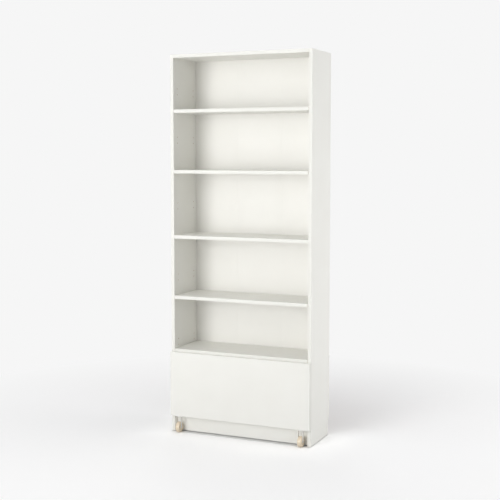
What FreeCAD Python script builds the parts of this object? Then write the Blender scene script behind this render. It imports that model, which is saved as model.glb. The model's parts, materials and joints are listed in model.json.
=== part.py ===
import FreeCAD
import Part
import os

# Tall open bookcase with one roll-out drawer at its foot.
#
# Millimetres. +X is to the right, +Y towards the wall and +Z up. Every piece is worked out with y = 0
# on the front edges of the carcass, and moved at the end so that the origin is on the floor in the
# middle of the space that the bookcase takes up.

# carcass
WIDTH = 800.0
DEPTH = 280.0
HEIGHT = 2020.0
SIDE_T = 18.0
PANEL_T = 18.0
EDGE_R = 1.0
GLIDE_R = 7.0
GLIDE_H = 2.0
GLIDE_INSET = 30.0

# cut-out at the rear foot of each side, which clears a skirting board
NOTCH_DEPTH = 20.0
NOTCH_TOP = 75.0
NOTCH_SLANT = 27.0

# back: three thin leaves, joined by tape and held in a groove
BACK_T = 3.0
BACK_INSET = 18.0
GROOVE_DEPTH = 6.0
GROOVE_PLAY = 0.4
LEAF_SEAM = 0.2
TAPE_W = 40.0
TAPE_T = 0.3
PIN_R = 1.0
PIN_LENGTH = 18.0

# boards fixed between the sides
BOTTOM_TOP = 100.0
MIDDLE_TOP = 1065.0
PLINTH_GAP = 5.0

# peg holes and loose shelves: holes are counted from the lowest spare one, a pitch apart
PEG_PITCH = 32.0
PEG_FIRST_Z = 467.0
PEG_FRONT_INSET = 45.0
PEG_REAR_INSET = 50.0
PEG_HOLE_R = 2.5
PEG_HOLE_DEPTH = 10.0
PEG_PIN_LENGTH = 9.0
PEG_PIN_PLAY = 0.05
PEG_HEAD_L = 11.0
PEG_HEAD_W = 8.0
PEG_HEAD_TOP = 3.0
PEG_SINK = 1.0
PEG_POCKET_PLAY = 0.4
SHELF_END_PLAY = 1.0
SHELF_BACK_GAP = 2.0
SHELF_NAMES = ("shelf_bottom", "shelf_lower", "shelf_upper", "shelf_top")
SHELF_HOLES = (-1, 8, 29, 39)
SPARE_HOLES = (0, 11, 23, 34, 42)

# cam fittings, dowels and screws
CAM_FRONT_INSET = 45.0
CAM_REAR_INSET = 55.0
CAM_REACH = 34.0
CAM_BOLT_R = 3.0
CAM_BOLT_ANCHOR = 11.0
CAM_BOLT_PLAY = 0.3
CAM_DISC_R = 7.5
CAM_DISC_H = 12.5
DOWEL_R = 4.0
DOWEL_SHORT = 12.0
DOWEL_LONG = 22.0
PLINTH_DOWEL_INSET = 18.0

# wall brackets
BRACKET_INSET = 100.0
BRACKET_W = 30.0
BRACKET_FOOT = 30.0
BRACKET_RISE = 18.0
BRACKET_T = 2.0
BRACKET_HOLE_R = 2.5
BRACKET_HOLE_Z = 10.0
BRACKET_SCREW_INSET = 22.0
BRACKET_SCREW_L = 12.0
SCREW_R = 2.0
SCREW_HEAD_R = 4.0
SCREW_HEAD_T = 2.0

# drawer front and box
FRONT_T = 18.0
FRONT_GAP = 2.0
FRONT_SIDE_PLAY = 1.0
FRONT_BOTTOM_Z = 89.0
FRONT_LAP = 15.0
BOX_T = 15.0
BOX_FLOOR_GAP = 4.0
BOX_HEAD_GAP = 34.0
BOX_BACK_GAP = 12.0
BOARD_T = 6.0
BOARD_LIFT = 22.0
BOARD_GROOVE = 7.0
BOARD_PLAY = 0.2
BOX_JOINT_INSET = 50.0
BOX_SCREW_L = 30.0
BUMPER_R = 4.0
BUMPER_INSET = 20.0

# castors under the drawer front
WHEEL_INSET = 32.0
WHEEL_R = 28.5
WHEEL_W = 22.0
WHEEL_BEVEL = 2.5
WHEEL_CLEARANCE = 2.5
BUSH_R = 5.0
AXLE_R = 3.0
RUNNING_PLAY = 0.05
FORK_T = 1.5
FORK_W = 14.0
FORK_PLAY = 0.6
PLATE_L = 48.0
PLATE_W = 16.0
PLATE_T = 2.0
PLATE_SCREW_X = 18.0
PLATE_SCREW_L = 14.0
PLATE_SCREW_R = 1.75
PLATE_SCREW_HEAD_R = 3.2
RIVET_HEAD_R = 5.0
RIVET_HEAD_T = 1.2

# rear rollers, outside the drawer box, and the stops that they meet
ROLLER_R = 12.0
ROLLER_W = 9.0
ROLLER_END = 18.0
ROLLER_PLAY = 0.3
PIN_SHOULDER_T = 1.2
PIN_HEAD_R = 4.5
PIN_HEAD_T = 1.0
PIN_ANCHOR = 11.0
PIN_SIDE_PLAY = 1.2
STOP_L = 12.0
STOP_H = 24.0
STOP_PLAY = 2.0
STOP_GAP = 0.5
STOP_INSET = 17.5
STOP_SCREW_L = 9.0

# places that follow from the sizes above
SHELF_STEPS = dict(zip(SHELF_NAMES, SHELF_HOLES))
INNER_X = WIDTH / 2 - SIDE_T
BRACKET_X = WIDTH / 2 - BRACKET_INSET
WHEEL_X = INNER_X - WHEEL_INSET
BACK_Y = DEPTH - BACK_INSET
PEG_ROWS = (PEG_FRONT_INSET, DEPTH - PEG_REAR_INSET)
CAM_ROWS = (CAM_FRONT_INSET, DEPTH - CAM_REAR_INSET)
FRONT_REAR_Y = -FRONT_GAP
CASTOR_Y = FRONT_REAR_Y - FRONT_T / 2
PLINTH_Y = CASTOR_Y + WHEEL_R + WHEEL_CLEARANCE
BOX_GAP = PIN_SHOULDER_T + 2 * ROLLER_PLAY + ROLLER_W + PIN_HEAD_T + PIN_SIDE_PLAY
BOX_X = INNER_X - BOX_GAP
BOX_INNER_X = BOX_X - BOX_T
BOX_REAR_Y = BACK_Y - BOX_BACK_GAP
BOX_Z = BOTTOM_TOP + BOX_FLOOR_GAP
BOARD_Z = BOX_Z + BOARD_LIFT
ROLLER_Y = BOX_REAR_Y - ROLLER_END
ROLLER_Z = BOTTOM_TOP + ROLLER_R + ROLLER_PLAY
STOP_REAR_Y = STOP_INSET + STOP_L
TRAVEL = ROLLER_Y - ROLLER_R - STOP_GAP - STOP_REAR_Y
ORIGIN_Y = (DEPTH + CASTOR_Y - WHEEL_R) / 2

V = FreeCAD.Vector
nodes = {}
cuts = {}


def add(name, *solids):
    """Put solids into a node."""
    nodes.setdefault(name, []).extend(solids)


def bore(name, *tools):
    """Note a hole, groove or pocket to be made in a board."""
    cuts.setdefault(name, []).extend(tools)


def block(x0, x1, y0, y1, z0, z1):
    """A rectangular block between two corners, given low to high or high to low."""
    low = V(min(x0, x1), min(y0, y1), min(z0, z1))
    return Part.makeBox(abs(x1 - x0), abs(y1 - y0), abs(z1 - z0), low)


def rod(radius, start, end):
    """A round bar between two points."""
    start, end = V(*start), V(*end)
    return Part.makeCylinder(radius, (end - start).Length, start, end - start)


def tube(outer, inner, start, end):
    """A round sleeve between two points."""
    return rod(outer, start, end).cut(rod(inner, start, end))


def eased(shape, *tests):
    """Round over the straight edges whose two ends pass one of the tests."""
    edges = [e for e in shape.Edges if any(all(t(v) for v in e.Vertexes) for t in tests)]
    return shape.makeFillet(EDGE_R, edges)


def at(axis, place):
    """A test for points that lie at one place along X, Y or Z."""
    return lambda vertex: abs(getattr(vertex, axis) - place) < 1e-6


def both(first, second):
    """A test that joins two tests."""
    return lambda vertex: first(vertex) and second(vertex)


def side_name(sign):
    return "right" if sign > 0 else "left"


def peg_z(step):
    return PEG_FIRST_Z + step * PEG_PITCH


def shelf_z(name):
    """The underside of a loose shelf."""
    return peg_z(SHELF_STEPS[name]) - PEG_SINK


SHELF_BOTTOM_TOP = shelf_z("shelf_bottom") + PANEL_T
FRONT_TOP_Z = SHELF_BOTTOM_TOP - FRONT_LAP
BOX_TOP_Z = shelf_z("shelf_bottom") - BOX_HEAD_GAP


# ---------------------------------------------------------------- fastenings

def cam_joint(board, mate, bolts, discs, point, inward, face, face_distance):
    """A bolt anchored in the mate, and the disc let into a face of the board that draws it in."""
    point, inward, face = V(*point), V(*inward), V(*face)
    tip = point + inward * (CAM_REACH + CAM_BOLT_R)
    bolt = rod(CAM_BOLT_R, point - inward * CAM_BOLT_ANCHOR, tip)
    mouth = point + inward * CAM_REACH + face * face_distance
    disc = rod(CAM_DISC_R, mouth, mouth - face * CAM_DISC_H)
    tunnel = rod(CAM_BOLT_R + CAM_BOLT_PLAY, point, tip + inward * CAM_BOLT_PLAY)
    add(bolts, bolt)
    add(discs, disc.cut(tunnel))
    bore(board, disc, tunnel)
    bore(mate, bolt)


def dowel(node, board, mate, point, inward):
    """A wooden dowel, its long end in the board and its short end in the mate."""
    point, inward = V(*point), V(*inward)
    pin = rod(DOWEL_R, point - inward * DOWEL_SHORT, point + inward * DOWEL_LONG)
    add(node, pin)
    bore(board, pin)
    bore(mate, pin)


def screw(node, boards, point, inward, length, shank_r=SCREW_R, head_r=SCREW_HEAD_R):
    """A screw whose head lies flush with the surface at the point, with its hole in each board."""
    point, inward = V(*point), V(*inward)
    head = rod(head_r, point, point + inward * SCREW_HEAD_T)
    solid = head.fuse(rod(shank_r, point, point + inward * length))
    add(node, solid)
    for name in boards:
        bore(name, solid)


# ------------------------------------------------------------------- carcass

def side_panel(sign):
    """A side: notched at the rear foot, grooved for the back, drilled for pegs."""
    outline = [
        (0, GLIDE_H),
        (DEPTH - NOTCH_DEPTH, GLIDE_H),
        (DEPTH - NOTCH_DEPTH, NOTCH_TOP),
        (DEPTH, NOTCH_TOP + NOTCH_SLANT),
        (DEPTH, HEIGHT),
        (0, HEIGHT),
    ]
    name = "side_" + side_name(sign)
    inner, outer = sign * INNER_X, sign * WIDTH / 2
    wire = Part.makePolygon([V(inner, y, z) for y, z in outline + outline[:1]])
    panel = Part.Face(wire).extrude(V(outer - inner, 0, 0))
    add(name, eased(panel, at("Y", 0), both(at("X", outer), at("Z", HEIGHT))))
    back_end = BACK_Y + BACK_T + GROOVE_PLAY
    bore(name, block(inner, inner + sign * GROOVE_DEPTH, BACK_Y, back_end, 0, HEIGHT))
    for y in PEG_ROWS:
        for z in peg_hole_heights():
            bore(name, rod(PEG_HOLE_R, (inner, y, z), (inner + sign * PEG_HOLE_DEPTH, y, z)))


def peg_hole_heights():
    """The holes in use and the spare pairs, as far up as the top panel leaves room."""
    spare = [step + n for step in SPARE_HOLES for n in (0, 1)]
    heights = [peg_z(step) for step in sorted([*SHELF_STEPS.values(), *spare])]
    return [z for z in heights if z < HEIGHT - PANEL_T - 2 * PEG_HOLE_R]


def fixed_board(name, top, rear, disc_face):
    """A board between the sides, drawn to each of them by two cams and a dowel."""
    add(name, eased(block(-INNER_X, INNER_X, 0, rear, top - PANEL_T, top), at("Y", 0)))
    middle = top - PANEL_T / 2
    for sign in (-1, 1):
        mate = "side_" + side_name(sign)
        inward = (-sign, 0, 0)
        for y in CAM_ROWS:
            point = (sign * INNER_X, y, middle)
            face = (0, 0, disc_face)
            cam_joint(name, mate, "cam_bolts", "cam_discs", point, inward, face, PANEL_T / 2)
        dowel("wood_dowels", name, mate, (sign * INNER_X, sum(CAM_ROWS) / 2, middle), inward)


def plinth():
    """The board that closes the foot, doweled to the sides just clear of the floor."""
    top = BOTTOM_TOP - PANEL_T
    rear = PLINTH_Y + PANEL_T
    add("plinth", block(-INNER_X, INNER_X, PLINTH_Y, rear, PLINTH_GAP, top))
    for sign in (-1, 1):
        for z in (PLINTH_GAP + PLINTH_DOWEL_INSET, top - PLINTH_DOWEL_INSET):
            point = (sign * INNER_X, PLINTH_Y + PANEL_T / 2, z)
            dowel("wood_dowels", "plinth", "side_" + side_name(sign), point, (-sign, 0, 0))


def back():
    """Three leaves side by side in the grooves, taped behind and pinned to the fixed boards."""
    reach = INNER_X + GROOVE_DEPTH - GROOVE_PLAY
    low = BOTTOM_TOP - PANEL_T
    high = HEIGHT - PANEL_T + GROOVE_DEPTH - GROOVE_PLAY
    rear = BACK_Y + BACK_T
    leaf = (2 * reach - 2 * LEAF_SEAM) / 3
    leaves = ("back_leaf_left", "back_leaf_middle", "back_leaf_right")
    for i, name in enumerate(leaves):
        start = -reach + i * (leaf + LEAF_SEAM)
        add(name, block(start, start + leaf, BACK_Y, rear, low, high))
        for top in (BOTTOM_TOP, MIDDLE_TOP):
            board = "bottom_panel" if top == BOTTOM_TOP else "middle_shelf"
            middle = (start + leaf / 2, rear, top - PANEL_T / 2)
            pin = rod(PIN_R, middle, (middle[0], rear - PIN_LENGTH, middle[2]))
            add("back_pins", pin)
            bore(name, pin)
            bore(board, pin)
    for sign in (-1, 1):
        seam = sign * (leaf + LEAF_SEAM) / 2
        ends = (low, HEIGHT - PANEL_T)
        add("back_tapes", block(seam - TAPE_W / 2, seam + TAPE_W / 2, rear, rear + TAPE_T, *ends))
    groove_rear = rear + GROOVE_PLAY
    top_under = HEIGHT - PANEL_T
    bore("top_panel", block(-INNER_X, INNER_X, BACK_Y, groove_rear, top_under, top_under + GROOVE_DEPTH))


def foot_glides():
    """A thin round glide near each end of each side's lower edge."""
    for sign in (-1, 1):
        x = sign * (WIDTH - SIDE_T) / 2
        for y in (GLIDE_INSET, DEPTH - NOTCH_DEPTH - GLIDE_INSET):
            add("foot_glides", rod(GLIDE_R, (x, y, 0), (x, y, GLIDE_H)))


def wall_brackets():
    """Angle brackets on the top, flush with the wall, each with one screw and one wall hole."""
    for sign in (-1, 1):
        x = sign * BRACKET_X
        ends = (x - BRACKET_W / 2, x + BRACKET_W / 2)
        foot = block(*ends, DEPTH - BRACKET_FOOT, DEPTH, HEIGHT, HEIGHT + BRACKET_T)
        leg = block(*ends, DEPTH - BRACKET_T, DEPTH, HEIGHT, HEIGHT + BRACKET_RISE)
        hole_z = HEIGHT + BRACKET_HOLE_Z
        hole = rod(BRACKET_HOLE_R, (x, DEPTH - BRACKET_T, hole_z), (x, DEPTH, hole_z))
        point = V(x, DEPTH - BRACKET_SCREW_INSET, HEIGHT + BRACKET_T + SCREW_HEAD_T)
        end = V(point.x, point.y, HEIGHT - BRACKET_SCREW_L)
        shank = rod(SCREW_R, point, end)
        head = rod(SCREW_HEAD_R, point, V(point.x, point.y, HEIGHT + BRACKET_T))
        add("wall_brackets", foot.fuse(leg).removeSplitter().cut([hole, shank]))
        add("wall_bracket_screws", head.fuse(shank))
        bore("top_panel", shank)


# -------------------------------------------------------------- loose shelves

def peg(sign, y, z):
    """A shelf peg: a round pin for the side panel and a flat-topped head under the shelf."""
    face = sign * INNER_X
    tip = face - sign * PEG_HEAD_L
    pin_r = PEG_HOLE_R - PEG_PIN_PLAY
    pin = rod(pin_r, (face, y, z), (face + sign * PEG_PIN_LENGTH, y, z))
    half = PEG_HEAD_W / 2
    round_part = rod(half, (face, y, z), (tip, y, z))
    square_part = block(face, tip, y - half, y + half, z, z + PEG_HEAD_TOP)
    below = round_part.common(block(face, tip, y - half, y + half, z - half, z))
    return below.fuse(square_part).removeSplitter().fuse(pin)


def loose_shelf(name):
    """A shelf that lies on four pegs, each let into a pocket in its underside."""
    under = shelf_z(name)
    end = INNER_X - SHELF_END_PLAY
    board = block(-end, end, 0, BACK_Y - SHELF_BACK_GAP, under, under + PANEL_T)
    add(name, eased(board, at("Y", 0)))
    half = PEG_HEAD_W / 2 + PEG_POCKET_PLAY
    for sign in (-1, 1):
        for y in PEG_ROWS:
            axis_z = peg_z(SHELF_STEPS[name])
            inner = sign * (INNER_X - PEG_HEAD_L - PEG_POCKET_PLAY)
            bore(name, block(sign * end, inner, y - half, y + half, under, axis_z + PEG_HEAD_TOP))
            add(name.replace("shelf", "pegs"), peg(sign, y, axis_z))


# --------------------------------------------------------------------- drawer

def drawer_front():
    """The wide plain front that covers the foot of the carcass."""
    reach = WIDTH / 2 - FRONT_SIDE_PLAY
    face_y = FRONT_REAR_Y - FRONT_T
    front = block(-reach, reach, face_y, FRONT_REAR_Y, FRONT_BOTTOM_Z, FRONT_TOP_Z)
    add("drawer_front", eased(front, at("Y", face_y)))
    groove_x = BOX_INNER_X + BOARD_GROOVE + BOARD_PLAY
    groove_y = FRONT_REAR_Y - BOARD_GROOVE - BOARD_PLAY
    groove_top = BOARD_Z + BOARD_T + BOARD_PLAY
    bore("drawer_front", block(-groove_x, groove_x, groove_y, FRONT_REAR_Y, BOARD_Z, groove_top))
    for sign in (-1, 1):
        x = sign * (WIDTH - SIDE_T) / 2
        for z in (FRONT_BOTTOM_Z + BUMPER_INSET, FRONT_TOP_Z - BUMPER_INSET):
            add("front_bumpers", rod(BUMPER_R, (x, FRONT_REAR_Y, z), (x, 0, z)))


def drawer_box():
    """Two sides and a back round a thin bottom, drawn to the front by cams."""
    joints = (BOARD_Z + BOX_JOINT_INSET, BOX_TOP_Z - BOX_JOINT_INSET)
    for sign in (-1, 1):
        name = "drawer_side_" + side_name(sign)
        inner, outer = sign * BOX_INNER_X, sign * BOX_X
        board = block(inner, outer, FRONT_REAR_Y, BOX_REAR_Y, BOX_Z, BOX_TOP_Z)
        add(name, eased(board, at("Z", BOX_TOP_Z)))
        groove = inner + sign * (BOARD_GROOVE + BOARD_PLAY)
        groove_top = BOARD_Z + BOARD_T + BOARD_PLAY
        bore(name, block(inner, groove, FRONT_REAR_Y, BOX_REAR_Y, BOARD_Z, groove_top))
        middle_x = (inner + outer) / 2
        for z in joints:
            point = (middle_x, FRONT_REAR_Y, z)
            fittings = (name, "drawer_front", "drawer_cam_bolts", "drawer_cam_discs")
            cam_joint(*fittings, point, (0, 1, 0), (-sign, 0, 0), BOX_T / 2)
            start = (outer, BOX_REAR_Y - BOX_T / 2, z)
            length = BOX_T + BOX_SCREW_L
            screw("drawer_back_screws", (name, "drawer_back"), start, (-sign, 0, 0), length)
        point = (middle_x, FRONT_REAR_Y, sum(joints) / 2)
        dowel("drawer_dowels", name, "drawer_front", point, (0, 1, 0))
    back_front_y = BOX_REAR_Y - BOX_T
    board_top = BOARD_Z + BOARD_T
    rear = block(-BOX_INNER_X, BOX_INNER_X, back_front_y, BOX_REAR_Y, board_top, BOX_TOP_Z)
    add("drawer_back", rear)
    reach = BOX_INNER_X + BOARD_GROOVE
    front_y = FRONT_REAR_Y - BOARD_GROOVE
    add("drawer_bottom", block(-reach, reach, front_y, BOX_REAR_Y, BOARD_Z, board_top))


# -------------------------------------------------------------------- castors

def wheel_profile(half):
    """The wheel's section: a plain disc with a bevel on each side of the tread."""
    shoulder = WHEEL_R - WHEEL_BEVEL
    right = [V(half, 0, BUSH_R), V(half, 0, shoulder), V(half - WHEEL_BEVEL, 0, WHEEL_R)]
    left = [V(-p.x, 0, p.z) for p in reversed(right)]
    return Part.Face(Part.makePolygon([*right, *left, right[0]]))


def castor(sign):
    """A fixed fork under the drawer front, a riveted axle and a wheel on a bush."""
    name = side_name(sign)
    x, z = sign * WHEEL_X, WHEEL_R
    half = WHEEL_W / 2
    wheel = wheel_profile(half).revolve(V(0, 0, 0), V(1, 0, 0), 360)
    wheel.translate(V(x, CASTOR_Y, z))
    add("castor_wheel_" + name, wheel)
    ends = ((x - half, CASTOR_Y, z), (x + half, CASTOR_Y, z))
    add("castor_bush_" + name, tube(BUSH_R, AXLE_R + RUNNING_PLAY, *ends))

    plate_z = FRONT_BOTTOM_Z - PLATE_T
    plate_y = (CASTOR_Y - PLATE_W / 2, CASTOR_Y + PLATE_W / 2)
    plate = block(x - PLATE_L / 2, x + PLATE_L / 2, *plate_y, plate_z, FRONT_BOTTOM_Z)
    cheeks = [fork_cheek(x + way * (half + FORK_PLAY), way, plate_z) for way in (-1, 1)]
    reach = half + FORK_PLAY + FORK_T
    shank = rod(AXLE_R, (x - reach, CASTOR_Y, z), (x + reach, CASTOR_Y, z))
    add("castor_fork_" + name, plate.fuse(cheeks).removeSplitter().cut(shank))
    axle = shank
    for way in (-1, 1):
        head_start = (x + way * reach, CASTOR_Y, z)
        head_end = (x + way * (reach + RIVET_HEAD_T), CASTOR_Y, z)
        axle = axle.fuse(rod(RIVET_HEAD_R, head_start, head_end))
    add("castor_axles", axle)
    for way in (-1, 1):
        point = (x + way * PLATE_SCREW_X, CASTOR_Y, plate_z)
        boards = ("castor_fork_" + name, "drawer_front")
        screw("castor_screws", boards, point, (0, 0, 1), PLATE_SCREW_L, PLATE_SCREW_R, PLATE_SCREW_HEAD_R)


def fork_cheek(inner_x, way, top):
    """One cheek of the fork: a strip that ends in a half round below the axle."""
    outer_x = inner_x + way * FORK_T
    half = FORK_W / 2
    strip = block(inner_x, outer_x, CASTOR_Y - half, CASTOR_Y + half, WHEEL_R, top)
    end = rod(half, (inner_x, CASTOR_Y, WHEEL_R), (outer_x, CASTOR_Y, WHEEL_R))
    return strip.fuse(end).removeSplitter()


# --------------------------------------------------------------- rear rollers

def rear_roller(sign):
    """A roller on a shouldered pin outside the drawer box, which runs on the bottom panel."""
    wall = sign * BOX_X
    start = wall + sign * (PIN_SHOULDER_T + ROLLER_PLAY)
    end = start + sign * ROLLER_W
    roller = tube(ROLLER_R, AXLE_R + RUNNING_PLAY, (start, ROLLER_Y, ROLLER_Z), (end, ROLLER_Y, ROLLER_Z))
    head = end + sign * ROLLER_PLAY
    steps = (
        (AXLE_R, wall - sign * PIN_ANCHOR, head),
        (PIN_HEAD_R, wall, wall + sign * PIN_SHOULDER_T),
        (PIN_HEAD_R, head, head + sign * PIN_HEAD_T),
    )
    shank, *collars = [rod(r, (a, ROLLER_Y, ROLLER_Z), (b, ROLLER_Y, ROLLER_Z)) for r, a, b in steps]
    add("rear_roller_" + side_name(sign), roller)
    add("roller_pins", shank.fuse(collars))
    bore("drawer_side_" + side_name(sign), shank)


def drawer_stop(sign):
    """A block at the front of the drawer's gap that the roller meets when the drawer is out."""
    face = sign * (BOX_X + STOP_PLAY)
    stop = block(face, sign * INNER_X, STOP_INSET, STOP_REAR_Y, BOTTOM_TOP, BOTTOM_TOP + STOP_H)
    add("drawer_stop_" + side_name(sign), stop)
    point = (face, STOP_REAR_Y - STOP_L / 2, BOTTOM_TOP + STOP_H / 2)
    boards = ("drawer_stop_" + side_name(sign), "side_" + side_name(sign))
    length = BOX_GAP - STOP_PLAY + STOP_SCREW_L
    screw("drawer_stop_screws", boards, point, (sign, 0, 0), length)


# ------------------------------------------------------------------- assembly

for sign in (-1, 1):
    side_panel(sign)
fixed_board("top_panel", HEIGHT, DEPTH, 1)
fixed_board("middle_shelf", MIDDLE_TOP, BACK_Y, -1)
fixed_board("bottom_panel", BOTTOM_TOP, BACK_Y, -1)
plinth()
back()
foot_glides()
wall_brackets()
for shelf in SHELF_STEPS:
    loose_shelf(shelf)
drawer_front()
drawer_box()
for sign in (-1, 1):
    castor(sign)
    rear_roller(sign)
    drawer_stop(sign)

os.makedirs("parts", exist_ok=True)
for name, solids in nodes.items():
    solids = [s.cut(cuts[name]) for s in solids] if name in cuts else solids
    shape = solids[0] if len(solids) == 1 else Part.makeCompound(solids)
    shape.translate(V(0, -ORIGIN_Y, 0))
    shape.exportStep(f"parts/{name}.step")
    print(f"{name}: {len(shape.Solids)} solids, {shape.Volume / 1000:.1f} cm3, valid {shape.isValid()}")
print(len(nodes), "nodes")
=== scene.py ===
# %% [markdown]
# # A tall white bookcase with one roll-out drawer
#
# The bookcase is flat-pack furniture: chipboard panels wrapped in white foil, a thin hardboard back,
# and a wide drawer at the foot that rolls on two pale wooden wheels. The construction comes in as a
# finished frame of boards and fittings. This lesson dresses that frame: it gives every board its
# finishes, and makes the small pieces, such as wheels, forks and screws, as finer surfaces.
#
# The frame is loaded first, so that every size and place below can be read from it.

# %% Load the frame
import json
import math

import bmesh
import bpy
import numpy as np
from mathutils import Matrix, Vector

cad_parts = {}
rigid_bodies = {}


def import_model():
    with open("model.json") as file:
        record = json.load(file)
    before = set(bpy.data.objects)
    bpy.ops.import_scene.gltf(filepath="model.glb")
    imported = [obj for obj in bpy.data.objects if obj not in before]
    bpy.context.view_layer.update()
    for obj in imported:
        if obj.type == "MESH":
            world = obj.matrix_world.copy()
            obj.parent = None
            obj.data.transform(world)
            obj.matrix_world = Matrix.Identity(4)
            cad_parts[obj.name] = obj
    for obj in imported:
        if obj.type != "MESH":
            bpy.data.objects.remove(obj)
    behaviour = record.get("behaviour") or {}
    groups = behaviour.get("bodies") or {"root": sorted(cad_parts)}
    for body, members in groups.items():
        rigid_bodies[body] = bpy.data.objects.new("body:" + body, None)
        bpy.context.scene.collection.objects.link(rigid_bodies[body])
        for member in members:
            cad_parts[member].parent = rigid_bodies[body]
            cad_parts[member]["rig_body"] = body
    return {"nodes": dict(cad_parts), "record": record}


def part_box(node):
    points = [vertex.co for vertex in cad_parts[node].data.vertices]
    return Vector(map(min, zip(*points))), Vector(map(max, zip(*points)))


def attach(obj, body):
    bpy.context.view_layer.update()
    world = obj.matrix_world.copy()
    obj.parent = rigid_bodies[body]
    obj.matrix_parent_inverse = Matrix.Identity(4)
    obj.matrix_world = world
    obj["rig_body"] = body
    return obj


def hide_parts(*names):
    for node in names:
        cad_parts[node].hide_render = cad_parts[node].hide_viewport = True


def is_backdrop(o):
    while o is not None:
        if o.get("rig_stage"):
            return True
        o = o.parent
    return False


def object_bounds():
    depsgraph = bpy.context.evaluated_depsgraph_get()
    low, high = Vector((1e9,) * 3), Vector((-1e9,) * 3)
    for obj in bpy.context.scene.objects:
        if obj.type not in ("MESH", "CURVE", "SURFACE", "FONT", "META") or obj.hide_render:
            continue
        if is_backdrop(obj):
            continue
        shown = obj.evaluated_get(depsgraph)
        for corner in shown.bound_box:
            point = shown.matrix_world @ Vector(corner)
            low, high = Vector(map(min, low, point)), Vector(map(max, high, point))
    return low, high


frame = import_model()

cad_low, cad_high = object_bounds()
slot_of = {part["node"]: part["material_slot"] for part in frame["record"]["subparts"]}
print("frame size in metres", [round(v, 4) for v in cad_high - cad_low])

# %% [markdown]
# ## Camera
#
# A tall object keeps its uprights parallel when the camera stays almost level. A long lens from about
# five metres away does the same for its depth. The small downward tilt and the small vertical shift
# share the framing between them, so that the shift stays slight when the camera walks round the object.

# %% Camera
CAMERA_PLACE = (2.1466, -4.8543, 1.4896)
CAMERA_PITCH = 4.528
CAMERA_TURN = 23.774
CAMERA_LENS = 72.332
CAMERA_SHIFT_Y = -0.03
SENSOR_WIDTH = 36.0

lens = bpy.data.cameras.new("camera")
lens.lens, lens.sensor_width, lens.shift_y = CAMERA_LENS, SENSOR_WIDTH, CAMERA_SHIFT_Y
camera = bpy.data.objects.new("camera", lens)
camera.location = CAMERA_PLACE
camera.rotation_euler = (math.radians(90 - CAMERA_PITCH), 0, math.radians(CAMERA_TURN))
bpy.context.scene.collection.objects.link(camera)
bpy.context.scene.camera = camera
print("camera distance from the middle", round((camera.location - (cad_low + cad_high) / 2).length, 2))

# %% [markdown]
# ## Nodes for finishes
#
# Every finish is a small network of nodes on the Principled shader. Wiring nodes by hand is wordy, so
# `add` makes a node, sets its plain values and links the sockets that it is given. The helpers after it
# each do one common job: stretch the place, mix two tones, remap a pattern, or turn it into a bump.

# %% Node helpers
def add(tree, kind, inputs=None, out=0, **settings):
    """Add a node, and return one of its outputs. Sockets among the inputs are linked, values are set."""
    made = tree.nodes.new("ShaderNode" + kind)
    for key, value in settings.items():
        setattr(made, key, value)
    for key, value in (inputs or {}).items():
        if isinstance(value, bpy.types.NodeSocket):
            tree.links.new(value, made.inputs[key])
        else:
            made.inputs[key].default_value = value
    return made.outputs[out]


def finish(name, roughness, metallic=0.0, specular=0.5):
    """Start a material: its tree, its Principled shader and the Object coordinates of its place."""
    material = bpy.data.materials.new(name)
    material.use_nodes = True
    tree = material.node_tree
    tree.nodes.clear()
    values = {"Roughness": roughness, "Metallic": metallic, "Specular IOR Level": specular}
    surface = add(tree, "BsdfPrincipled", values)
    output = tree.nodes.new("ShaderNodeOutputMaterial")
    tree.links.new(surface, output.inputs["Surface"])
    return material, tree, surface.node, add(tree, "TexCoord", out="Object")


def stretched(tree, place, scale):
    """The place multiplied by a different factor along X, Y and Z."""
    return add(tree, "Mapping", {"Vector": place, "Scale": scale})


def noise(tree, place, scale, detail=2.0, distortion=0.0):
    """Cloudy noise, with so many clouds to the metre."""
    values = {"Vector": place, "Scale": scale, "Detail": detail, "Distortion": distortion}
    return add(tree, "TexNoise", values, "Fac")


def ramp(tree, value, low, high, to_low=0.0, to_high=1.0):
    """A pattern remapped from one range to another, held at the ends."""
    values = {"Value": value, "From Min": low, "From Max": high, "To Min": to_low, "To Max": to_high}
    return add(tree, "MapRange", values)


def mixed(tree, factor, first, second):
    """Two colours mixed by a factor: the first where it is 0, the second where it is 1."""
    ends = [(*c, 1.0) if isinstance(c, tuple) and len(c) == 3 else c for c in (first, second)]
    return add(tree, "Mix", {0: factor, 6: ends[0], 7: ends[1]}, 2, data_type="RGBA")


def product(tree, first, second):
    """Two patterns multiplied."""
    return add(tree, "Math", {0: first, 1: second}, operation="MULTIPLY")


# %% Helpers for tones and bumps
NOISE_LOW, NOISE_HIGH = 0.3, 0.7


def between(tree, pattern, low, high):
    """A noise spread from one value to another. Nearly all of a noise lies between 0.3 and 0.7."""
    return ramp(tree, pattern, NOISE_LOW, NOISE_HIGH, low, high)


def toned(tree, pattern, shade, light):
    """A noise spread from one tone to another."""
    return mixed(tree, between(tree, pattern, 0.0, 1.0), shade, light)


def link(tree, shader, socket, value):
    """Link a pattern to one of the shader's inputs."""
    tree.links.new(value, shader.inputs[socket])


def raise_surface(tree, shader, height, depth, strength=1.0):
    """Bump: the pattern's whole range is so many metres deep."""
    values = {"Height": height, "Distance": depth, "Strength": strength}
    link(tree, shader, "Normal", add(tree, "Bump", values))


# %% [markdown]
# ## White foil
#
# The boards are wrapped in a thin printed foil, off-white and satin. Up close such a foil isn't flat:
# it follows the chips of the board under it in a faint orange peel, and it carries fine pores pressed in
# by the roller. Both are far too small for geometry, so they are bumps. The colour drifts by a percent
# or two over a hand's breadth, and the gloss drifts in smaller patches, which stops a big white board
# from looking like paper.

# %% White foil
FOIL_LIGHT = (0.885, 0.880, 0.838)
FOIL_SHADE = (0.868, 0.861, 0.816)

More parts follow.
